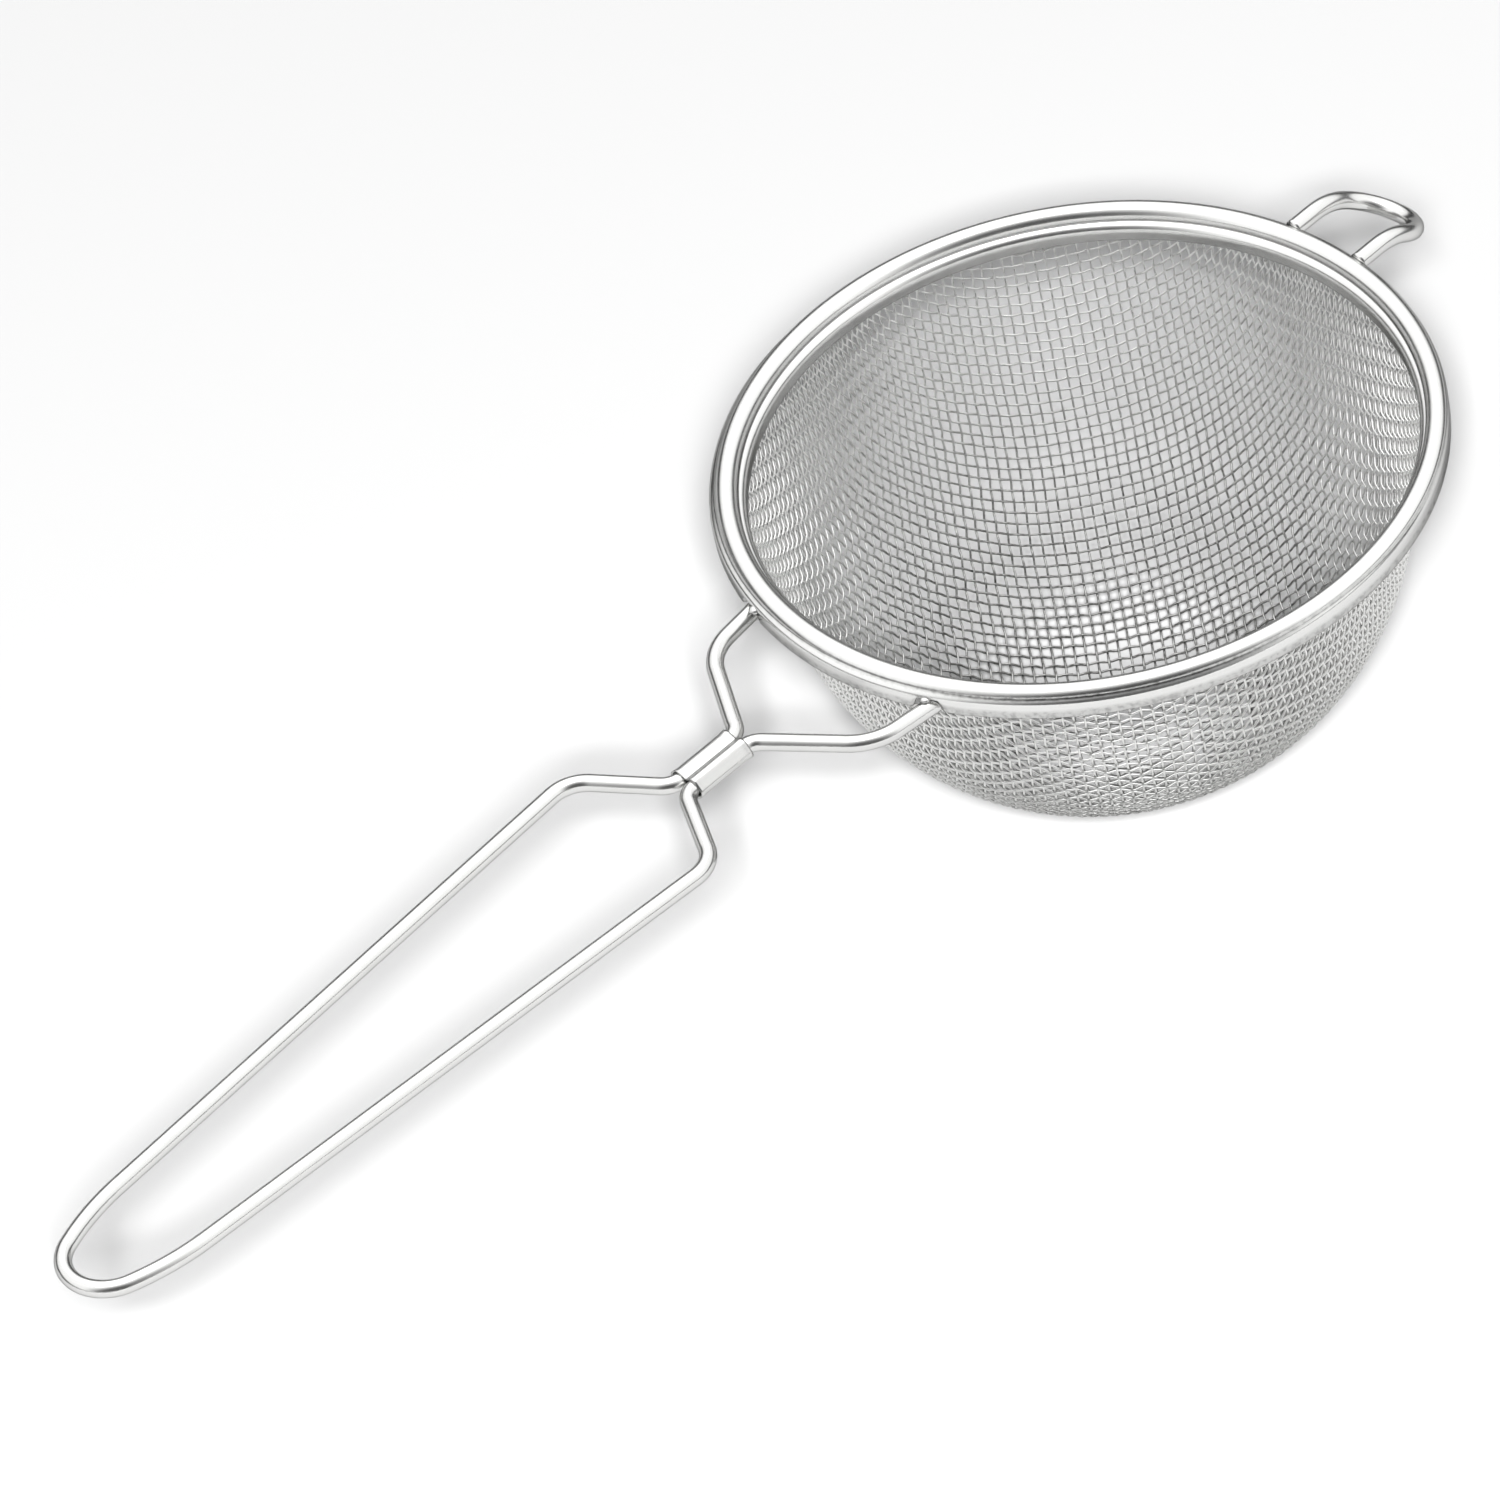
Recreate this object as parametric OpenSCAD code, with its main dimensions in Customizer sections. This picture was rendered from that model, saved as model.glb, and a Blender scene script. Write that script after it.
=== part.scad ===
// Wire-handled tea strainer: a woven mesh bowl in a rolled rim band, with a long bent-wire
// handle held by a crimped ferrule and a small wire hook opposite it.
// Origin: centre of the bowl's flat bottom. +Z up, the handle runs along -Y, the hook along +Y.

/* [Wire] */
// Diameter of the handle and hook wire
wire_d = 1.9; // [1.6:0.1:2.2]

/* [Rim] */
// Outside diameter of the rim band across its skirt
rim_d = 79.4; // [76:0.2:84]
// Outside radius of the bead rolled along the top of the band
bead_r = 1.25; // [1.2:0.05:1.35]
// Sheet thickness of the band
strip_t = 0.25; // [0.2:0.05:0.3]
// Diameter of the ring wire inside the bead
ring_wire_d = 1.6; // [1.2:0.1:1.6]
// Height of the band's skirt below the bead's centre
skirt_drop = 2.2; // [1.9:0.1:2.6]
// Height of the band's inner leg below the bead's centre
inner_leg_drop = 1.6; // [1.2:0.1:1.8]

/* [Bowl] */
// Depth of the bowl from the bead's centre to its flat bottom
bowl_depth = 40; // [34:1:44]
// Diameter of the flat bottom
flat_d = 14.8; // [8:0.2:20]
// Draft of the wall above the round part, in degrees
wall_draft = 14; // [10:1:18]
// Thickness of the woven mesh, two crossing wires
mesh_t = 0.5; // [0.4:0.05:0.6]

/* [Arms] */
// Height of the handle wire's centre below the bead's centre
handle_drop = 1.8; // [1.8:0.1:2]
// Distance from the centre plane to an arm where it meets the rim
arm_x = 13.3; // [12:0.1:15]
// Distance from the rim's axis to the bend in each arm
arm_bend_y = 44.8; // [43:0.1:47]
// Distance from the centre plane to the bend in each arm
arm_bend_x = 12.2; // [11:0.1:14]

/* [Handle] */
// Distance from the rim's axis to where the arms come together
neck_y = 52.15; // [51:0.05:54]
// Distance from the rim's axis to where the loop opens out
fork_y = 61.9; // [60:0.1:66]
// Distance from the rim's axis to the loop's shoulders
shoulder_y = 67.8; // [66:0.1:72]
// Half width of the loop at its shoulders
shoulder_x = 10.8; // [9:0.1:13]
// Distance from the rim's axis to where the loop's sides start to close
taper_y = 142.3; // [120:0.1:142.4]
// Half width of the loop where its sides start to close
taper_x = 6.35; // [6.3:0.05:8]
// Distance from the rim's axis to where the closing sides would meet
apex_y = 159.7; // [159.6:0.1:170]
// Bend radius at the loop's end
end_r = 5; // [4:0.1:5]

/* [Hook] */
// Half the distance between the hook's legs
hook_x = 4.75; // [4:0.05:6]
// Height of the hook's legs above the bead's centre
hook_rise = 0.5; // [0.2:0.1:0.7]
// Distance from the rim's axis to where the hook starts to bend down
hook_bend_y = 41.8; // [41:0.1:45]
// Angle by which the hook bends down, in degrees
hook_angle = 32; // [20:1:60]

/* [Ferrule] */
// Length of the crimped ferrule
ferrule_l = 7.6; // [6:0.1:8]
// Sheet thickness of the ferrule
ferrule_t = 0.25; // [0.2:0.05:0.4]

/* [Hidden] */
$fn = 96;

wire_r = wire_d / 2;
rim_r = rim_d / 2;
rim_z = bowl_depth;                        // height of the bead's centre
handle_z = rim_z - handle_drop;
hook_z = rim_z + hook_rise;
far = 200;                                 // longer than anything it cuts
lap = 0.1;                                 // how far a straight runs into the bend after it
swell = 0.02;                              // how much thicker a bend is than the straight

// Rim band: radius of each curl, and where its legs stand
ledge_w = 0.35;                            // how far the skirt stands outside the bead
bead_x = rim_r - ledge_w - bead_r;         // radius of the circle through the bead's centre
fold_r = 0.65;                             // inner shoulder
ledge_r = 0.6;                             // outer shoulder
hem_r = 0.35;                              // hem at the skirt's lower edge
inner_leg_x = -2;                          // innermost face of the band, from the bead's centre
skirt_x = bead_r + ledge_w;                // outermost face of the band, from the bead's centre
fold_z = -0.95;                            // centre of the inner shoulder
ledge_z = -0.84;                           // centre of the outer shoulder
hem_z = -skirt_drop + hem_r;
slot_w = wire_d + 0.3;                     // notch in the skirt for an arm
slot_l = 4;                                // how much of the arm's run the notch clears

// Bowl: the wall's slope, carried on down, meets the floor at line_r
mesh_top_r = bead_x - 0.95;                // the mesh's top edge is tucked inside the ring wire
mesh_top_z = rim_z - 0.85;
flat_r = flat_d / 2;
line_r = mesh_top_r - mesh_top_z * tan(wall_draft);
bowl_z = line_r * tan(wall_draft) + sqrt(line_r * line_r - flat_r * flat_r) / cos(wall_draft);
bowl_r = norm([bowl_z, flat_r]);           // the round part, centred at height bowl_z

// Handle: bend radii
arm_bend_r = 6.5;
mouth_r = 2;
shoulder_r = 4.2;
taper_r = 30;
pair_x = wire_r + 0.05;                    // half distance of the two wires in the ferrule
arm_end_y = sqrt(bead_x * bead_x - arm_x * arm_x) - 0.3;   // the arms end under the ring wire

// Ferrule
ferrule_y = 57;
valley_h = 1.5;                            // height over the groove between the two wires

// Hook
hook_bend_r = 7.7;
hook_straight = 0.1;                       // between the bend and the round end
hook_root_y = bead_x + 0.6;                // the legs start here, on the bead's shoulder

function unit(v) = v / norm(v);
function flip(p) = [-p[0], p[1]];
function turn(a, b, c) = let(u = unit(b - a), v = unit(c - b)) atan2(u[0] * v[1] - u[1] * v[0], u * v);
function setback(a, b, c, r) = r * tan(abs(turn(a, b, c)) / 2);

// One half of the handle wire as [corner, bend radius], from an arm's end to the loop's end
HALF = [
    [[arm_x, -arm_end_y], 0],
    [[arm_bend_x, -arm_bend_y], arm_bend_r],
    [[pair_x, -neck_y], mouth_r],
    [[pair_x, -fork_y], mouth_r],
    [[shoulder_x, -shoulder_y], shoulder_r],
    [[taper_x, -taper_y], taper_r],
];
OTHER = [for (i = [len(HALF) - 1 : -1 : 0]) [flip(HALF[i][0]), HALF[i][1]]];
PATH = concat(HALF, [[[0, -apex_y], end_r]], OTHER);

// A straight round wire from a to b in the XY plane, lapped into what it meets
module rod(a, b) {
    translate([a[0], a[1], 0])
        rotate([0, 90, atan2(b[1] - a[1], b[0] - a[0])])
            translate([0, 0, -lap]) cylinder(r = wire_r, h = norm(b - a) + 2 * lap);
}

// A bend of radius r that turns through an angle, from the X axis
module elbow(r, angle) {
    rotate_extrude(angle = angle) translate([r, 0]) circle(r = wire_r + swell);
}

// The bend at corner b between a and c
module bend(a, b, c, r) {
    t = turn(a, b, c);
    side = t > 0 ? 1 : -1;
    u = unit(b - a);
    start = b - u * setback(a, b, c, r);
    centre = start + [-u[1], u[0]] * side * r;
    first = atan2(start[1] - centre[1], start[0] - centre[0]);
    translate([centre[0], centre[1], 0])
        rotate(t > 0 ? first : first + t) elbow(r, abs(t));
}

// A wire that follows a list of [corner, bend radius]
module bent_wire(path) {
    last = len(path) - 1;
    for (i = [0 : last - 1]) {
        a = path[i][0];
        b = path[i + 1][0];
        u = unit(b - a);
        from = i == 0 ? a : a + u * setback(path[i - 1][0], a, b, path[i][1]);
        to = i + 1 == last ? b : b - u * setback(a, b, path[i + 2][0], path[i + 1][1]);
        rod(from, to);
    }
    for (i = [1 : last - 1]) bend(path[i - 1][0], path[i][0], path[i + 1][0], path[i][1]);
}

// 2D: a curl of sheet from angle a0 to a1, with its outer face at radius r
module curl(r, t, a0, a1) {
    steps = 6;
    intersection() {
        difference() {
            circle(r = r);
            circle(r = r - t);
        }
        polygon(concat([[0, 0]], [for (i = [0 : steps])
            2 * r * [cos(a0 + (a1 - a0) * i / steps), sin(a0 + (a1 - a0) * i / steps)]]));
    }
}

// 2D: the band's section, with the bead's centre at the origin
module band_section() {
    curl(bead_r, strip_t, -25, 205);
    translate([inner_leg_x + fold_r, fold_z]) curl(fold_r, strip_t, 60, 180);
    translate([inner_leg_x, -inner_leg_drop]) square([strip_t, inner_leg_drop + fold_z]);
    translate([skirt_x - ledge_r, ledge_z]) curl(ledge_r, strip_t, 0, 120);
    translate([skirt_x - strip_t, hem_z]) square([strip_t, ledge_z - hem_z]);
    translate([skirt_x - hem_r, hem_z]) curl(hem_r, strip_t, -80, 0);
}

// The bowl's outline, this far inside its outer face: flat bottom, round part and wall
function bowl_line(inset) = let(
    r = bowl_r - inset,
    first = -asin((bowl_z - inset) / r),
    steps = 18,
    rounds = [for (i = [0 : steps]) let(a = first - (wall_draft + first) * i / steps)
        [r * cos(a), bowl_z + r * sin(a)]],
    last = rounds[steps]
) concat([[0, inset]], rounds,
    [[last[0] + (mesh_top_z - last[1]) * tan(wall_draft), mesh_top_z]]);

module mesh_bowl() {
    inner = bowl_line(mesh_t);
    color("silver") rotate_extrude($fn = 128)
        polygon(concat(bowl_line(0), [for (i = [len(inner) - 1 : -1 : 0]) inner[i]]));
}

// A notch in the skirt round an arm, open at the bottom
module arm_notch() {
    rotate([90, 0, 0]) cylinder(d = slot_w, h = slot_l, center = true);
    translate([-slot_w / 2, -slot_l / 2, -far]) cube([slot_w, slot_l, far]);
}

module rim_band() {
    // where an arm crosses the skirt
    cross_y = sqrt(rim_r * rim_r - arm_x * arm_x);
    cross_x = arm_x - (arm_x - arm_bend_x) * (cross_y - arm_end_y) / (arm_bend_y - arm_end_y);
    color("gainsboro") difference() {
        translate([0, 0, rim_z]) rotate_extrude($fn = 128) translate([bead_x, 0]) band_section();
        for (side = [-1, 1]) translate([side * cross_x, -cross_y, handle_z]) arm_notch();
    }
}

module rim_wire() {
    color("lightsteelblue") translate([0, 0, rim_z])
        rotate_extrude($fn = 128) translate([bead_x, 0]) circle(d = ring_wire_d, $fn = 32);
}

module handle_wire() {
    color("silver") translate([0, 0, handle_z]) bent_wire(PATH, $fn = 32);
}

// Section of the ferrule: two rounds side by side, with a shallow valley between them
module pair_section(r, valley) {
    for (side = [-1, 1]) translate([side * pair_x, 0]) circle(r = r);
    square([2 * pair_x, valley], center = true);
}

module ferrule() {
    fit = 0.03;
    color("whitesmoke")
        translate([0, -ferrule_y + ferrule_l / 2, handle_z]) rotate([90, 0, 0])
            linear_extrude(ferrule_l) difference() {
                pair_section(wire_r + fit + ferrule_t, valley_h + fit);
                pair_section(wire_r + fit, valley_h - 2 * ferrule_t);
            }
}

// The band's bead and ledge filled in, to trim what is welded to it
module band_body() {
    rotate_extrude($fn = 128) translate([bead_x, 0]) {
        circle(r = bead_r);
        translate([skirt_x - ledge_r, ledge_z]) circle(r = ledge_r);
    }
}

module rest_hook() {
    tip_y = hook_bend_y + hook_bend_r * sin(hook_angle);
    tip_z = -hook_bend_r * (1 - cos(hook_angle));
    color("silver") translate([0, 0, hook_z]) {
        difference() {
            for (side = [-1, 1]) rod([side * hook_x, hook_root_y], [side * hook_x, hook_bend_y]);
            translate([0, 0, -hook_rise]) band_body();
        }
        for (side = [-1, 1]) translate([side * hook_x, hook_bend_y, -hook_bend_r])
            rotate([90, 0, 90]) rotate(90 - hook_angle) elbow(hook_bend_r, hook_angle);
        translate([0, tip_y, tip_z]) rotate([-hook_angle, 0, 0]) {
            for (side = [-1, 1]) rod([side * hook_x, 0], [side * hook_x, hook_straight]);
            translate([0, hook_straight, 0]) elbow(hook_x, 180);
        }
    }
}

mesh_bowl();
rim_band();
rim_wire();
handle_wire();
ferrule();
rest_hook();
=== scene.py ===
"""Looks of the tea strainer: a bowl of woven steel cloth in a rolled rim band, on a bent-wire handle.

Shapes are in millimetres in the part's own frame, and build_mesh() turns them into metres. The camera,
the lights and the floor are in metres.
"""

import math

import bpy
import numpy as np
from mathutils import Matrix, Vector


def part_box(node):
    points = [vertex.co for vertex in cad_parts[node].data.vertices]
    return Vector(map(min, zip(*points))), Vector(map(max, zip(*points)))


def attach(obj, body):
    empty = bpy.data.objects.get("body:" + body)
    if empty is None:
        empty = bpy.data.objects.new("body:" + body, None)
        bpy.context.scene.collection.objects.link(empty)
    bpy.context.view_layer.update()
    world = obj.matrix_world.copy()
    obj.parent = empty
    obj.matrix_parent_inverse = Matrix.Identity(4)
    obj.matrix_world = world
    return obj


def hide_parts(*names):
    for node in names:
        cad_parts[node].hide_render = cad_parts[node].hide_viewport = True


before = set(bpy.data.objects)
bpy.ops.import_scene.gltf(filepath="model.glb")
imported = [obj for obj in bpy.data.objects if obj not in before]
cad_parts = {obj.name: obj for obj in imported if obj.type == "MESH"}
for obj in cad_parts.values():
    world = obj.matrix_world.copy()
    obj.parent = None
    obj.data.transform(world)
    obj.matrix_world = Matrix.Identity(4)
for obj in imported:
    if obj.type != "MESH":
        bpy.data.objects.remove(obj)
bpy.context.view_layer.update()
rng = np.random.default_rng(7)

MM = 0.001


def corners_mm(node):
    """Lowest and highest corner of a CAD node, in millimetres."""
    low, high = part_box(node)
    return np.array(low) / MM, np.array(high) / MM


# Places and sizes that the CAD model gives
band_top = corners_mm("rim_band")[1]
handle_top = corners_mm("handle_wire")[1]
hook_top = corners_mm("rest_hook")[1]
bowl_top = corners_mm("mesh_bowl")[1]

WIRE_R = 0.95                               # handle and hook wire
BEAD_R = 1.25                               # bead rolled along the top of the band
LEDGE = 0.35                                # how far the skirt stands outside the bead
RIM_R = band_top[0]                         # outer face of the band's skirt
RIM_Z = band_top[2] - BEAD_R                # the bead's centre
BEAD_X = RIM_R - LEDGE - BEAD_R             # radius of the circle through the bead's centre
HANDLE_Z = handle_top[2] - WIRE_R
HOOK_Z = hook_top[2] - WIRE_R
ARM_END = (13.3, handle_top[1])             # an arm's end, under the ring wire
SHEET = 0.25                                # thickness of the band's sheet


# ---------------------------------------------------------------- camera, light and floor

CAMERA_AT = Vector((0.8699, -0.7188, 1.0283))
CAMERA_AIM = Vector((0.0034, -0.0543, 0.0400))
CAMERA_ROLL = math.radians(-12.0)
CAMERA_LENS = 338.9


def make_camera():
    """The camera at the photograph's viewing angle."""
    data = bpy.data.cameras.new("camera")
    data.sensor_width = 36.0
    data.lens = CAMERA_LENS
    data.clip_end = 20.0
    camera = bpy.data.objects.new("camera", data)
    bpy.context.scene.collection.objects.link(camera)
    turn = (CAMERA_AIM - CAMERA_AT).to_track_quat("-Z", "Y").to_matrix().to_4x4()
    camera.matrix_world = Matrix.Translation(CAMERA_AT) @ turn @ Matrix.Rotation(CAMERA_ROLL, 4, "Z")
    bpy.context.scene.camera = camera


make_camera()


def area_light(name, at, aim, size, power):
    """A soft rectangular light of size = (width, height) metres that faces the point aim."""
    data = bpy.data.lights.new(name, "AREA")
    data.shape = "RECTANGLE"
    data.size, data.size_y = size
    data.energy = power
    light = bpy.data.objects.new(name, data)
    light.location = at
    light.rotation_euler = (Vector(aim) - Vector(at)).to_track_quat("-Z", "Y").to_euler()
    bpy.context.scene.collection.objects.link(light)
    return light


def node_tree(material):
    """The node tree of a material and its Principled shader."""
    material.use_nodes = True
    tree = material.node_tree
    return tree, tree.nodes["Principled BSDF"]


FAR_SIDE = Vector((-0.77, 0.64, 0.0))       # level direction away from the camera
OPENING = Vector((0.744, -0.618, 0.259))    # middle of the light tent's opening, on the camera's side
TENT_UP = Vector((0.134, -0.111, 0.985))    # the tent's hem hangs higher on the far side


def ramp(nodes, stops):
    """A grey colour ramp with eased stops [(place, grey), ...]."""
    node = nodes.new("ShaderNodeValToRGB")
    node.color_ramp.interpolation = "EASE"
    elements = node.color_ramp.elements
    while len(elements) < len(stops):
        elements.new(0.5)
    for element, (place, grey) in zip(elements, stops):
        element.position = place
        element.color = (grey, grey, grey, 1.0)
    return node


def make_world():
    """Light tent for the metal to reflect: bright above, dim at the horizon, with an opening on one side.

    The camera sees plain pale grey instead, and the tent doesn't light the floor.
    """
    world = bpy.data.worlds.new("tent")
    world.use_nodes = True
    nodes, links = world.node_tree.nodes, world.node_tree.links
    background = nodes["Background"]
    where = nodes.new("ShaderNodeTexCoord")
    rise = nodes.new("ShaderNodeVectorMath")
    rise.operation = "DOT_PRODUCT"
    rise.inputs[1].default_value = TENT_UP
    height = nodes.new("ShaderNodeMapRange")
    height.inputs["From Min"].default_value = -1.0
    along = nodes.new("ShaderNodeVectorMath")
    along.operation = "DOT_PRODUCT"
    along.inputs[1].default_value = OPENING
    closed = nodes.new("ShaderNodeMapRange")
    closed.interpolation_type = "SMOOTHSTEP"
    closed.inputs["From Min"].default_value = 0.97
    closed.inputs["From Max"].default_value = 0.5
    tent = ramp(nodes, ((0.0, 0.3), (0.5, 0.06), (0.56, 0.15), (0.63, 1.3), (1.0, 1.45)))
    surround = nodes.new("ShaderNodeMixRGB")
    surround.inputs["Color1"].default_value = (0.12, 0.12, 0.12, 1.0)
    seen = nodes.new("ShaderNodeLightPath")
    pale = nodes.new("ShaderNodeMixRGB")
    pale.inputs["Color2"].default_value = (0.97, 0.97, 0.97, 1.0)
    links.new(where.outputs["Generated"], rise.inputs[0])
    links.new(rise.outputs["Value"], height.inputs["Value"])
    links.new(height.outputs[0], tent.inputs["Fac"])
    links.new(where.outputs["Generated"], along.inputs[0])
    links.new(along.outputs["Value"], closed.inputs["Value"])
    links.new(closed.outputs[0], surround.inputs["Fac"])
    links.new(tent.outputs["Color"], surround.inputs["Color2"])
    links.new(seen.outputs["Is Camera Ray"], pale.inputs["Fac"])
    links.new(surround.outputs["Color"], pale.inputs["Color1"])
    links.new(pale.outputs["Color"], background.inputs["Color"])
    world.cycles_visibility.diffuse = False
    bpy.context.scene.world = world


def make_studio():
    """Plain pale floor and soft lights."""
    bpy.context.scene.view_settings.view_transform = "Standard"
    make_world()
    middle = (0.0, -0.05, 0.0)
    overhead = area_light("overhead", (-0.30, 0.25, 1.1), middle, (1.5, 1.0), 7.0)
    overhead.rotation_euler = (0.0, 0.0, math.atan2(FAR_SIDE.y, FAR_SIDE.x))
    overhead.visible_diffuse = False
    key = area_light("key", tuple(2.0 * np.array(CAMERA_AT)), middle, (0.4, 0.4), 204.0)
    key.visible_glossy = False
    fill = area_light("fill", (0.0, 0.0, 1.2), middle, (2.0, 2.0), 2.0)
    fill.visible_glossy = False
    bpy.ops.mesh.primitive_circle_add(vertices=128, radius=2.0, fill_type="NGON", location=middle)
    floor = bpy.context.object
    floor.name = "floor"
    paper = bpy.data.materials.new("paper")
    shader = node_tree(paper)[1]
    shader.inputs["Base Color"].default_value = (0.66, 0.66, 0.66, 1.0)
    shader.inputs["Roughness"].default_value = 0.9
    shader.inputs["Specular IOR Level"].default_value = 0.1
    floor.data.materials.append(paper)


# ---------------------------------------------------------------- steel

def steel(name, tint, *, spread, roughness, uneven, draw_scale, relief, edge, painted_shade=0.0):
    """Drawn or rolled steel. Its streaks follow the piece's own "draw" attribute, with x along the metal.

    spread is how far the tint varies, uneven how far the roughness does, and relief the bump's height in
    metres. edge is how bright the metal stays at a grazing angle. The last argument is how far painted
    shade darkens the colour where z of "draw" is 1.
    """
    material = bpy.data.materials.new(name)
    tree, shader = node_tree(material)
    new, link = tree.nodes.new, tree.links.new
    place = new("ShaderNodeAttribute")
    place.attribute_name = "draw"
    lines = new("ShaderNodeMapping")
    lines.inputs["Scale"].default_value = draw_scale
    streaks = new("ShaderNodeTexNoise")
    streaks.inputs["Scale"].default_value = 1.0
    streaks.inputs["Detail"].default_value = 5.0
    clouds = new("ShaderNodeTexNoise")
    clouds.inputs["Scale"].default_value = 0.35
    clouds.inputs["Detail"].default_value = 3.0
    link(place.outputs["Vector"], lines.inputs["Vector"])
    link(lines.outputs[0], streaks.inputs["Vector"])
    link(place.outputs["Vector"], clouds.inputs["Vector"])
    mixed = new("ShaderNodeMath")
    mixed.operation = "MULTIPLY_ADD"
    mixed.inputs[1].default_value = 0.6
    half = new("ShaderNodeMath")
    half.operation = "MULTIPLY"
    half.inputs[1].default_value = 0.4
    link(clouds.outputs["Fac"], half.inputs[0])
    link(streaks.outputs["Fac"], mixed.inputs[0])
    link(half.outputs[0], mixed.inputs[2])
    colour = new("ShaderNodeValToRGB")
    low, high = colour.color_ramp.elements
    low.position, high.position = 0.3, 0.7
    low.color = (*[c - spread for c in tint], 1.0)
    high.color = (*[c + spread for c in tint], 1.0)
    link(mixed.outputs[0], colour.inputs["Fac"])
    # painted shade: the colour is mixed toward near-black by the amount in z of "draw", patchily by noise
    if painted_shade:
        parts = new("ShaderNodeSeparateXYZ")
        link(place.outputs["Vector"], parts.inputs[0])
        shade_noise = new("ShaderNodeTexNoise")
        shade_noise.inputs["Scale"].default_value = 1.6
        shade_noise.inputs["Detail"].default_value = 4.0
        link(place.outputs["Vector"], shade_noise.inputs["Vector"])
        patchy = new("ShaderNodeMapRange")
        patchy.inputs["From Min"].default_value = 0.36
        patchy.inputs["From Max"].default_value = 0.56
        patchy.inputs["To Min"].default_value = painted_shade
        patchy.inputs["To Max"].default_value = 0.5 * painted_shade
        link(shade_noise.outputs["Fac"], patchy.inputs["Value"])
        amount = new("ShaderNodeMath")
        amount.operation = "MULTIPLY"
        link(patchy.outputs[0], amount.inputs[0])
        link(parts.outputs["Z"], amount.inputs[1])
        # the near-black colour of the painted shade
        shade_mix = new("ShaderNodeMixRGB")
        shade_mix.inputs["Color2"].default_value = (0.05, 0.05, 0.045, 1.0)
        link(amount.outputs[0], shade_mix.inputs["Fac"])
        link(colour.outputs["Color"], shade_mix.inputs["Color1"])
        colour = shade_mix
    link(colour.outputs["Color"], shader.inputs["Base Color"])
    rough = new("ShaderNodeMapRange")
    rough.inputs["From Min"].default_value = 0.3
    rough.inputs["From Max"].default_value = 0.7
    rough.inputs["To Min"].default_value = roughness - uneven
    rough.inputs["To Max"].default_value = roughness + uneven
    link(mixed.outputs[0], rough.inputs["Value"])
    link(rough.outputs[0], shader.inputs["Roughness"])
    bump = new("ShaderNodeBump")
    bump.inputs["Strength"].default_value = 1.0
    bump.inputs["Distance"].default_value = relief
    link(mixed.outputs[0], bump.inputs["Height"])
    link(bump.outputs["Normal"], shader.inputs["Normal"])
    shader.inputs["Metallic"].default_value = 1.0
    shader.inputs["Specular Tint"].default_value = (edge, edge, edge, 1.0)
    return material


# ---------------------------------------------------------------- mesh helpers

def build_mesh(name, points, quads, draw, material, slot, *nodes):
    """A smooth piece from points in millimetres. draw holds each point's place in the metal's grain, and
    for the cloth and the band its z holds how much painted shade darkens them.
    """
    mesh = bpy.data.meshes.new(name)
    mesh.vertices.add(len(points))
    mesh.vertices.foreach_set("co", (np.asarray(points) * MM).astype(np.float32).ravel())
    quads = np.asarray(quads, dtype=np.int32)
    mesh.loops.add(quads.size)
    mesh.loops.foreach_set("vertex_index", quads.ravel())
    mesh.polygons.add(len(quads))
    mesh.polygons.foreach_set("loop_start", np.arange(0, quads.size, quads.shape[1], dtype=np.int32))
    mesh.polygons.foreach_set("use_smooth", np.ones(len(quads), dtype=bool))
    grain = mesh.attributes.new("draw", "FLOAT_VECTOR", "POINT")
    grain.data.foreach_set("vector", np.asarray(draw, dtype=np.float32).ravel())
    mesh.update(calc_edges=True)
    mesh.materials.append(material)
    piece = bpy.data.objects.new(name, mesh)
    bpy.context.scene.collection.objects.link(piece)
    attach(piece, "root")
    if nodes:
        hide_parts(*nodes)


def grid_quads(rows, columns, close_rows=False, first=0):
    """Quads of a grid of points whose rows are rings. close_rows joins the last row to the first."""
    ring = np.arange(columns)
    nxt = (ring + 1) % columns
    count = rows if close_rows else rows - 1
    a = np.arange(count)[:, None] * columns
    b = ((np.arange(count) + 1) % rows)[:, None] * columns
    return first + np.stack([a + ring, a + nxt, b + nxt, b + ring], axis=-1).reshape(-1, 4)


def unit(v):
    """v, or each row of v, at length 1."""
    v = np.asarray(v, dtype=float)
    return v / np.linalg.norm(v, axis=-1, keepdims=True)


def run_along(line):
    """Length along a line of points, up to each of them."""
    return np.concatenate([[0], np.cumsum(np.linalg.norm(np.diff(line, axis=0), axis=1))])


def resampled(line, run, at):
    """Points of a line at the lengths in at. run is run_along(line)."""
    return np.stack([np.interp(at, run, column) for column in line.T], axis=1)


def smoothed(line, passes):
    """A line whose corners are eased by averaging neighbours. Its ends stay."""
    for _ in range(passes):
        line[1:-1] = (line[:-2] + 2 * line[1:-1] + line[2:]) / 4
    return line


def ease(t):
    """t from 0 to 1, eased at both ends."""
    return t * t * (3 - 2 * t)


def tube(path, side, radius, sides):
    """Rings of points round a path, and their grain. side is a direction across it at each point."""
    along = unit(np.gradient(path, axis=0))
    x = unit(side - np.sum(side * along, axis=1, keepdims=True) * along)
    y = np.cross(along, x)
    turn = np.linspace(0, 2 * math.pi, sides, endpoint=False)
    ring = np.cos(turn)[None, :, None] * x[:, None, :] + np.sin(turn)[None, :, None] * y[:, None, :]
    points = path[:, None, :] + radius * ring
    draw = np.empty_like(points)
    draw[..., 0] = run_along(path)[:, None]
    draw[..., 1] = np.cos(turn)[None, :]
    draw[..., 2] = np.sin(turn)[None, :]
    return points, draw


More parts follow.
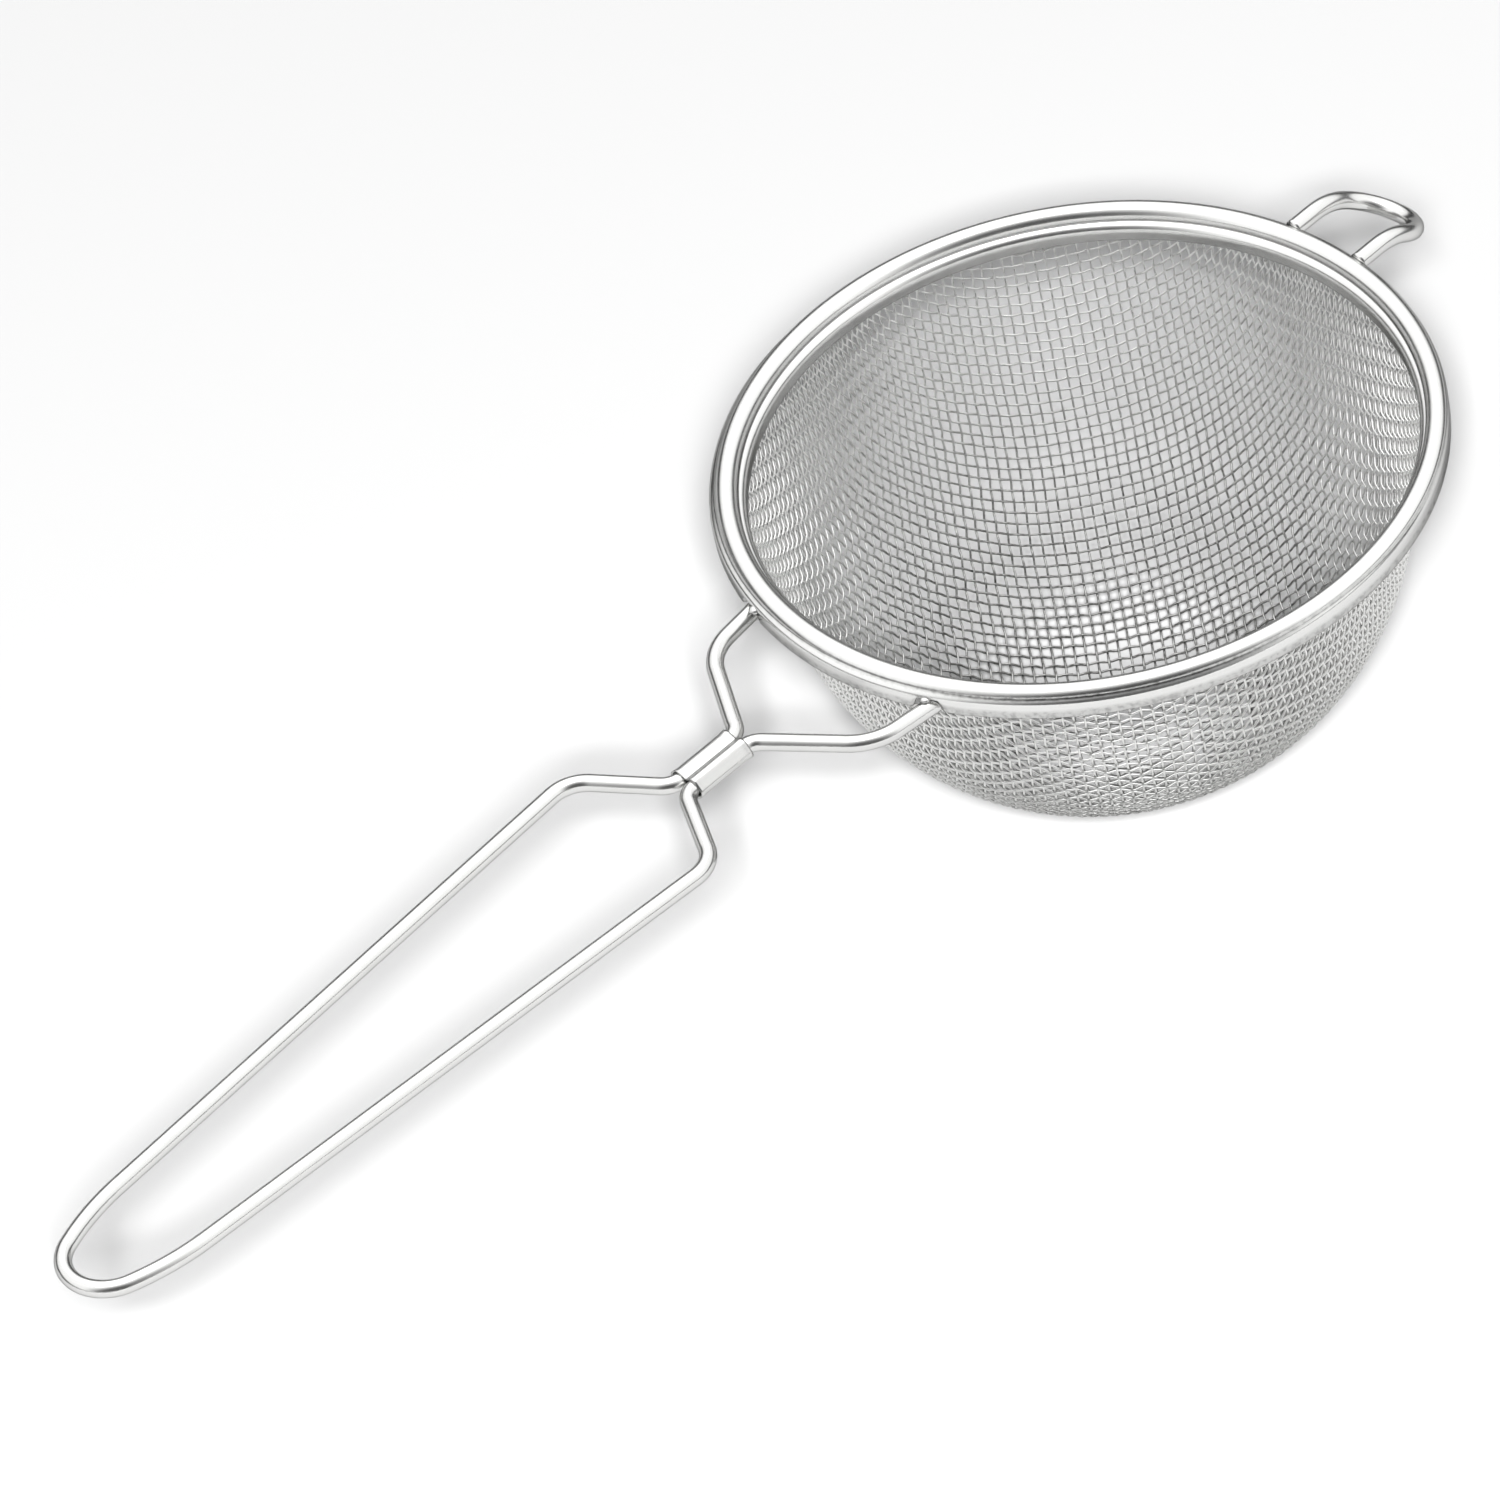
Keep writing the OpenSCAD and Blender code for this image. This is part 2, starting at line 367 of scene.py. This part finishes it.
def bent_path(corners, step=0.25):
    """A path through corners [(point, bend radius), ...] with round bends, as points about step apart."""
    stops = [np.array(corners[0][0], dtype=float)]
    for (a, _), (b, radius), (c, _) in zip(corners, corners[1:], corners[2:]):
        a, b, c = (np.array(p, dtype=float) for p in (a, b, c))
        u, v = unit(b - a), unit(c - b)
        angle = math.acos(np.clip(u @ v, -1, 1))
        setback = radius * math.tan(angle / 2)
        across = unit(v - u * (u @ v))
        centre = b - u * setback + across * radius
        count = max(2, int(radius * angle / step) + 1)
        for turn in np.linspace(0, angle, count):
            stops.append(centre - across * radius * math.cos(turn) + u * radius * math.sin(turn))
    stops.append(np.array(corners[-1][0], dtype=float))
    out = [stops[0]]
    for p, q in zip(stops, stops[1:]):
        count = max(1, int(round(np.linalg.norm(q - p) / step)))
        out += [p + (q - p) * k / count for k in range(1, count + 1)]
    return np.array(out)


# ---------------------------------------------------------------- woven bowl

PITCH = 1.2                                 # from wire to wire in the cloth
CLOTH_R = 0.13                              # radius of the cloth's wires
CLOTH_HALF = 0.25                           # half the cloth's thickness
WALL_DRAFT = math.radians(14)
FLAT_R = 7.4
CLOTH_TOP = bowl_top[2]                     # top edge, inside the band
CLOTH_TURN = math.radians(50.4)             # the cloth lies askew to the handle, by chance
SHADE_TOP = 25.0                            # painted shade: the cloth's colour darkens below this height
SHADE_FADE = 17.0                           # over this height


def bowl_profile():
    """The cloth's middle surface as samples of arc length, radius and height, from the middle out."""
    line_r = bowl_top[0] - CLOTH_TOP * math.tan(WALL_DRAFT)
    centre_z = line_r * math.tan(WALL_DRAFT) + math.sqrt(line_r**2 - FLAT_R**2) / math.cos(WALL_DRAFT)
    radius = math.hypot(centre_z, FLAT_R) - CLOTH_HALF
    first = -math.asin((centre_z - CLOTH_HALF) / radius)
    angles = np.linspace(first, -WALL_DRAFT, 200)
    r = radius * np.cos(angles)
    z = centre_z + radius * np.sin(angles)
    r = np.concatenate([[0.0], r])
    z = np.concatenate([[z[0]], z])
    past = 12.0                             # the wall is carried on past the top edge, for trimming
    r = np.append(r, r[-1] + (CLOTH_TOP + past - z[-1]) * math.tan(WALL_DRAFT))
    z = np.append(z, CLOTH_TOP + past)
    s = np.concatenate([[0], np.cumsum(np.hypot(np.diff(r), np.diff(z)))])
    even = np.linspace(0, s[-1], 4000)
    return even, np.interp(even, s, r), np.interp(even, s, z)


PROFILE_S, PROFILE_R, PROFILE_Z = bowl_profile()
CLOTH_EDGE = float(np.interp(CLOTH_TOP, PROFILE_Z[400:], PROFILE_S[400:]))


def on_bowl(flat):
    """Points of the bowl from points of the unrolled disc, where radius stands for arc length."""
    flat = np.asarray(flat, dtype=float)
    s = np.maximum(np.hypot(flat[..., 0], flat[..., 1]), 1e-9)
    r = np.interp(s, PROFILE_S, PROFILE_R) / s
    return np.stack([flat[..., 0] * r, flat[..., 1] * r, np.interp(s, PROFILE_S, PROFILE_Z)], axis=-1)


def bowl_normal(flat):
    """Unit normals of the bowl, pointing out, at points of the unrolled disc."""
    s = np.maximum(np.hypot(flat[..., 0], flat[..., 1]), 1e-9)
    step = 0.3
    low, high = np.maximum(s - step, 0), s + step
    dr = np.interp(high, PROFILE_S, PROFILE_R) - np.interp(low, PROFILE_S, PROFILE_R)
    dz = np.interp(high, PROFILE_S, PROFILE_Z) - np.interp(low, PROFILE_S, PROFILE_Z)
    out = unit(np.stack([dz, -dr], axis=-1))
    level = out[..., 0] / s
    return np.stack([flat[..., 0] * level, flat[..., 1] * level, out[..., 1]], axis=-1)


def drape(count):
    """One quadrant of the cloth's crossings on the unrolled disc.

    Each crossing lies one pitch from its two neighbours nearer the middle, as in cloth whose wires can
    turn at a crossing but can't stretch. Newton's method finds it.
    """
    nudge = 1e-4                            # step for the slopes
    close = 1e-5                            # a move this small ends the search
    net = np.zeros((count, count, 2))
    reach = np.arange(count) * PITCH
    net[:, 0, 0] = reach
    net[0, :, 1] = reach
    for i in range(1, count):
        for j in range(1, count):
            a, b = net[i - 1, j], net[i, j - 1]
            pa, pb = on_bowl(a), on_bowl(b)
            p = a + b - net[i - 1, j - 1]
            for _ in range(12):
                q = on_bowl([p, p + (nudge, 0), p + (0, nudge)])
                da, db = q - pa, q - pb
                f = np.array([np.linalg.norm(da, axis=1) - PITCH, np.linalg.norm(db, axis=1) - PITCH])
                slopes = (f[:, 1:] - f[:, :1]) / nudge
                if abs(np.linalg.det(slopes)) < 1e-3:
                    break
                move = np.linalg.solve(slopes, -f[:, 0])
                p = p + move * min(1.0, 0.5 * PITCH / max(np.linalg.norm(move), 1e-9))
                if np.linalg.norm(move) < close:
                    break
            net[i, j] = p
    return net


def whole_net(quadrant):
    """All four quadrants as one array of crossings, with the middle one at [count - 1, count - 1]."""
    count = len(quadrant)
    net = np.zeros((2 * count - 1, 2 * count - 1, 2))
    middle = count - 1
    for si in (-1, 1):
        for sj in (-1, 1):
            rows = middle + si * np.arange(count)
            cols = middle + sj * np.arange(count)
            net[np.ix_(rows, cols)] = quadrant * (si, sj)
    return net


def smooth_noise(shape, cell, amount):
    """A 2D field that wanders by about amount over cells this many grid steps wide."""
    coarse = rng.normal(0, amount, (shape[0] // cell + 3, shape[1] // cell + 3, 2))
    i = np.arange(shape[0]) / cell
    j = np.arange(shape[1]) / cell
    i0, j0 = i.astype(int), j.astype(int)
    fi = ease(i - i0)[:, None, None]
    fj = ease(j - j0)[None, :, None]
    a = coarse[np.ix_(i0, j0)] * (1 - fj) + coarse[np.ix_(i0, j0 + 1)] * fj
    b = coarse[np.ix_(i0 + 1, j0)] * (1 - fj) + coarse[np.ix_(i0 + 1, j0 + 1)] * fj
    return a * (1 - fi) + b * fi


def cloth_wire(crossings, sign, parity):
    """Rings of one wire of the cloth, over and under at its crossings and trimmed at the top edge."""
    per_pitch, sides = 4, 6
    count = len(crossings)
    t = np.arange((count - 1) * per_pitch + 1) / per_pitch
    flat = np.stack([np.interp(t, np.arange(count), crossings[:, k]) for k in (0, 1)], axis=1)
    inside = np.hypot(flat[:, 0], flat[:, 1]) < CLOTH_EDGE
    if inside.sum() < 2 * per_pitch:
        return None
    keep = slice(np.argmax(inside), len(inside) - np.argmax(inside[::-1]))
    t, flat = t[keep], flat[keep]
    path = on_bowl(flat)
    normal = bowl_normal(flat)
    weave = sign * CLOTH_R * np.cos(math.pi * (t + parity))
    path = path + normal * weave[:, None]
    return tube(path, normal, CLOTH_R, sides)


def turn_about_z(points, angle):
    """points turned about the Z axis."""
    c, s = math.cos(angle), math.sin(angle)
    return points @ np.array([[c, s, 0], [-s, c, 0], [0, 0, 1]])


def make_bowl(material):
    """The bowl's cloth: every wire is a tube that passes over and under the ones that cross it."""
    count = int(CLOTH_EDGE / PITCH) + 4
    net = whole_net(drape(count))
    net = net + smooth_noise(net.shape, 9, 0.10) + smooth_noise(net.shape, 3, 0.035)
    middle = count - 1
    for name, wires, sign in (("warp", net, 1), ("weft", net.transpose(1, 0, 2), -1)):
        for half, members in (("a", range(0, middle)), ("b", range(middle, 2 * count - 1))):
            points, quads, draw, first = [], [], [], 0
            for k in members:
                rings = cloth_wire(wires[k], sign, k % 2)
                if rings is None:
                    continue
                p, d = rings
                d = d + rng.uniform(0, 500)
                # painted shade: z of "draw" rises towards the bottom of the bowl, where the cloth is
                # painted darker
                d[..., 2] = np.clip((SHADE_TOP - p[..., 2]) / SHADE_FADE, 0, 1)
                points.append(p.reshape(-1, 3))
                draw.append(d.reshape(-1, 3))
                quads.append(grid_quads(p.shape[0], p.shape[1], first=first))
                first += p.shape[0] * p.shape[1]
            points = turn_about_z(np.concatenate(points), CLOTH_TURN)
            build_mesh(f"cloth_{name}_{half}", points, np.concatenate(quads), np.concatenate(draw),
                       material, "woven_mesh", "mesh_bowl")


# ---------------------------------------------------------------- rim band

def arc(centre, radius, start, end, count):
    """Points of a 2D arc, angles in degrees."""
    a = np.radians(np.linspace(start, end, count))
    return np.stack([centre[0] + radius * np.cos(a), centre[1] + radius * np.sin(a)], axis=1)


def wander(angle, amount, orders):
    """A wavy offset round the circle, of about this amount, made of waves of the given orders."""
    total = np.zeros_like(angle)
    for order in orders:
        total += rng.normal(0, 1) * np.sin(order * angle + rng.uniform(0, 2 * math.pi))
    return total * amount / math.sqrt(len(orders))


def band_section():
    """The band's section round the bead's centre, as (outer line, inner line, run along the outer one).

    It goes from the inner leg over the fold, bead and ledge to the skirt and its hem.
    """
    hem_r = 0.35
    leg = np.array([[-2.0, -2.3], [-2.0, -1.8]])
    fold = arc((-1.1, -1.2), 0.9, 180, 98, 12)
    bead = arc((0, 0), BEAD_R, 196, 28, 34)
    ledge = arc((0.85, -0.4), 0.75, 66, 0, 14)
    hem = arc((BEAD_R + LEDGE - hem_r, -1.85), hem_r, 0, -80, 6)
    corners = np.concatenate([leg, fold, bead, ledge, hem])
    run = run_along(corners)
    even = np.linspace(0, run[-1], 88)
    outer = smoothed(resampled(corners, run, even), 3)
    slope = unit(np.gradient(outer, axis=0))
    inner = outer + np.stack([slope[:, 1], -slope[:, 0]], axis=1) * SHEET
    return outer, inner, even


DARKEST_SHADE = math.radians(-42)                # where the crease's painted shade is darkest, on the camera's side
SPRUNG = math.radians(225)                  # where the skirt stands out furthest
ARM_X = 13.1                                # where the arms pass under the skirt
ARM_CROSSINGS = [math.atan2(-math.sqrt(RIM_R**2 - ARM_X**2), side * ARM_X) for side in (-1, 1)]


def make_band(material):
    """The rolled band: one sheet whose skirt is arched up over the handle's arms."""
    outer, inner, even = band_section()
    section = np.concatenate([outer, inner[::-1]])
    angle = np.linspace(-math.pi, math.pi, 480, endpoint=False)
    near_arm = np.linspace(-3.0, 3.0, 41) / RIM_R   # finer steps where the skirt arches
    angle = np.unique(np.concatenate([angle] + [near_arm + c for c in ARM_CROSSINGS]))
    away = np.min([np.abs(angle - c) for c in ARM_CROSSINGS], axis=0) * RIM_R
    arch, slope = 1.05, 1.1                 # half width of an arch's top, and width of each side
    lift = ease(np.clip((away - arch) / slope, 0, 1))[:, None]
    waves = wander(angle, 0.06, range(3, 11))
    spread = (waves + 0.3 * np.cos(angle - SPRUNG))[:, None]
    rise = wander(angle, 0.03, range(3, 9))[:, None]
    skirt = np.clip((section[:, 0] - 1.0) / 0.6, 0, 1)[None, :]
    radius = BEAD_X + section[None, :, 0] + spread * skirt
    z = section[None, :, 1]
    shoulder = -0.4                         # the arch goes up to here
    kept = np.where(skirt > 0.4, 0.02 + 0.98 * lift, 1.0)
    z = np.where(z < shoulder, shoulder + (z - shoulder) * kept, z)
    points = np.stack([radius * np.cos(angle)[:, None], radius * np.sin(angle)[:, None],
                       RIM_Z + z + rise * skirt], axis=-1)
    across = np.concatenate([even, even[::-1]])

    x, z = section.T                        # painted shade: the crease below the bead is darkened, most on the camera's side, and so is the skirt's lower part
    # painted shade in the crease between the bead and the ledge
    crease = np.exp(-(np.hypot(x - 1.16, z - 0.42) / 0.3) ** 2)
    # painted shade: the skirt's lower part is darkened
    skirt_shade = 0.55 * np.clip((x - 1.2) / 0.2, 0, 1) * np.clip((-0.8 - z) / 0.5, 0, 1)
    # the crease's painted shade is strongest on the side facing the camera
    to_darkest_shade = np.abs((angle - DARKEST_SHADE + math.pi) % (2 * math.pi) - math.pi)
    shade_by_angle = 0.4 + 0.5 * np.exp(-(to_darkest_shade / 0.5) ** 4)
    band_shade = skirt_shade[None, :] + crease[None, :] * shade_by_angle[:, None]
    draw = np.stack(np.broadcast_arrays((angle * RIM_R)[:, None], across[None, :], band_shade), axis=-1)
    quads = grid_quads(len(angle), len(section), close_rows=True)
    build_mesh("rim_band_sheet", points.reshape(-1, 3), quads, draw.reshape(-1, 3), material,
               "band_steel", "rim_band")


def blob(centre, axes, rows=10, columns=14):
    """Points and quads of an ellipsoid with the given centre and three half-axis vectors."""
    pole = 0.04                             # angle from the axis to the first and last ring
    up = np.linspace(pole, math.pi - pole, rows)[:, None]
    turn = np.linspace(0, 2 * math.pi, columns, endpoint=False)[None, :]
    a, b, c = (np.array(v, dtype=float) for v in axes)
    shape = (np.sin(up) * np.cos(turn))[..., None] * a + (np.sin(up) * np.sin(turn))[..., None] * b
    shape = shape + (np.cos(up) * np.ones_like(turn))[..., None] * c
    return np.array(centre) + shape.reshape(-1, 3), grid_quads(rows, columns)


def at_rim(angle, radius, z):
    """A point at this angle in degrees, radius and z from the bead's centre, and the ways out and along."""
    a = math.radians(angle)
    out = np.array([math.cos(a), math.sin(a), 0.0])
    along = np.array([-out[1], out[0], 0.0])
    return out * radius + (0, 0, RIM_Z + z), out, along


def make_welds(material):
    """Small nuggets of weld metal where the arms meet the band."""
    points, quads, first = [], [], 0
    places = ((-107.6, 39.75, -0.66), (-104.4, 39.25, -0.42),
              (-69.4, 39.30, -0.45), (-71.2, 39.60, -0.62))
    half_sizes = ((0.78, 0.72, 0.42), (0.42, 0.34, 0.22), (0.30, 0.40, 0.20), (0.62, 0.62, 0.32))
    for place, (length, width, height) in zip(places, half_sizes):
        centre, out, along = at_rim(*place)
        p, q = blob(centre, (out * length, along * width, np.array([0, 0, height])))
        points.append(p)
        quads.append(q[:, ::-1] + first)
        first += len(p)
    points = np.concatenate(points)
    build_mesh("weld_nuggets", points, np.concatenate(quads), points, material, "band_steel")


# ---------------------------------------------------------------- handle and hook

def capped_tube(name, path, up, radius, sides, material, slot, node):
    """A piece that is a tube round path, with closed ends. up is a direction across it."""
    points, draw = tube(path, np.broadcast_to(up, path.shape), radius, sides)
    quads = grid_quads(len(path), sides)
    caps = []
    for row, centre in ((0, len(path) * sides), (len(path) - 1, len(path) * sides + 1)):
        for k in range(0, sides, 2):
            a, b, c = (row * sides + (k + d) % sides for d in (0, 1, 2))
            caps.append([centre, c, b, a] if row == 0 else [centre, a, b, c])
    points = np.concatenate([points.reshape(-1, 3), path[[0, -1]]])
    draw = np.concatenate([draw.reshape(-1, 3), draw[[0, -1], 0]])
    build_mesh(name, points, np.concatenate([quads, caps]), draw, material, slot, node)


def make_handle(material):
    """The handle's wire: arm, neck, loop, and back. Each corner is ((x, y), bend radius)."""
    half = [(ARM_END, 0), ((12.2, -44.8), 6.5), ((1.0, -52.15), 2.4), ((1.0, -61.9), 2.4),
            ((10.8, -67.8), 4.2), ((6.35, -142.3), 30.0)]
    other = [((-x, y), r) for (x, y), r in reversed(half)]
    apex = [((0.0, -159.7), 5.0)]
    corners = [((x, y, HANDLE_Z), r) for (x, y), r in half + apex + other]
    path = bent_path(corners)
    up = np.array([0, 0, 1.0])
    capped_tube("handle_loop", path, up, WIRE_R, 28, material, "wire_steel", "handle_wire")


def make_hook(material):
    """The wire hook that rests on a cup's rim: two legs that curve down to a round end."""
    half_width = 4.75                       # from the middle to a leg's centre line
    bend_y, bend_r, drop = 41.8, 7.7, math.radians(32)
    step = 0.25
    leg = [np.array([0, BEAD_X + 0.6, 0.0]), np.array([0, bend_y, 0.0])]
    angles = np.linspace(0, drop, 16)[1:]
    leg += [np.array([0, bend_y + bend_r * math.sin(a), -bend_r * (1 - math.cos(a))]) for a in angles]
    slope = np.array([0, math.cos(drop), -math.sin(drop)])
    centre = leg[-1] + slope * 0.1
    side = np.array([half_width, 0, 0])
    turn = np.linspace(0, math.pi, 40)
    bend = [centre + side * math.cos(a) + slope * half_width * math.sin(a) for a in turn]
    corners = np.array([p + side for p in leg] + bend + [p - side for p in reversed(leg)])
    run = run_along(corners)
    even = np.linspace(0, run[-1], int(run[-1] / step))
    path = smoothed(resampled(corners + (0, 0, HOOK_Z), run, even), 4)
    up = np.array([0, 0.3, 1.0])
    capped_tube("hook_loop", path, up, 1.05 * WIRE_R, 28, material, "wire_steel", "rest_hook")


def make_ferrule(material):
    """The crimped ferrule: a sheet pressed round the two wires, with a valley on top and a flat side."""
    lobe = 1.22                             # radius round a wire
    sheet = 0.2
    low_y, high_y = -60.8, -53.2
    left = arc((-1.0, 0), lobe, 262, 84, 30)
    right_top = arc((0.95, 0), lobe, 98, 66, 8)
    side = np.array([[1.47, 1.09], [2.27, 0.05], [2.24, -0.55]])
    right_low = arc((1.0, -0.02), lobe, -38, -84, 10)
    valleys = np.array([[0.03, 0.80], [0.0, -0.86]])
    corners = np.concatenate([left, valleys[:1], right_top, side, right_low, valleys[1:], left[:1]])
    run = run_along(corners)
    even = np.linspace(0, run[-1], 120, endpoint=False)
    outer = resampled(corners, run, even)
    for _ in range(2):
        outer = (np.roll(outer, 1, axis=0) + 2 * outer + np.roll(outer, -1, axis=0)) / 4
    slope = unit(np.roll(outer, -1, axis=0) - np.roll(outer, 1, axis=0))
    inner = outer + np.stack([slope[:, 1], -slope[:, 0]], axis=1) * sheet
    y = np.linspace(low_y, high_y, 33)
    flare = 1 + 0.03 * np.exp(-((y - low_y) / 0.5) ** 2) + 0.05 * np.exp(-((y - high_y) / 0.5) ** 2)
    flare += wander(y * 0.8, 0.004, range(1, 4))
    shells = []
    for line, order in ((outer, y), (inner, y[::-1])):
        scale = np.interp(order, y, flare)
        xz = line[None, :, :] * scale[:, None, None]
        shells.append(np.stack([xz[..., 0], np.broadcast_to(order[:, None], xz.shape[:2]),
                                HANDLE_Z + xz[..., 1]], axis=-1))
    points = np.concatenate(shells)
    around = np.broadcast_to(even[None, :], points.shape[:2])
    draw = np.stack([points[..., 1], around, np.zeros(around.shape)], axis=-1)
    quads = grid_quads(len(points), len(outer), close_rows=True)
    build_mesh("ferrule_sheet", points.reshape(-1, 3), quads, draw.reshape(-1, 3), material,
               "ferrule_steel", "ferrule")


make_studio()

# the cloth's painted shade darkens it towards the bottom of the bowl
CLOTH_STEEL = steel("cloth_steel", (0.73, 0.73, 0.72), spread=0.08, roughness=0.3, uneven=0.08,
                    draw_scale=(0.8, 2.0, 2.0), relief=0.00001, edge=1.0, painted_shade=0.88)
WIRE_STEEL = steel("wire_steel", (0.7, 0.7, 0.69), spread=0.03, roughness=0.2, uneven=0.05,
                   draw_scale=(0.06, 3.0, 3.0), relief=0.00001, edge=0.3)
# the band's painted shade darkens its crease and the skirt's lower part
BAND_STEEL = steel("band_steel", (0.76, 0.76, 0.75), spread=0.03, roughness=0.22, uneven=0.05,
                   draw_scale=(0.06, 3.0, 3.0), relief=0.00001, edge=0.2, painted_shade=0.9)
FERRULE_STEEL = steel("ferrule_steel", (0.63, 0.63, 0.62), spread=0.04, roughness=0.26, uneven=0.06,
                      draw_scale=(0.1, 2.0, 2.0), relief=0.00001, edge=0.3)

make_bowl(CLOTH_STEEL)
make_band(BAND_STEEL)
make_handle(WIRE_STEEL)
make_hook(WIRE_STEEL)
make_ferrule(FERRULE_STEEL)
make_welds(FERRULE_STEEL)
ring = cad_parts["rim_wire"]
ring.data.materials.clear()
ring.data.materials.append(WIRE_STEEL)
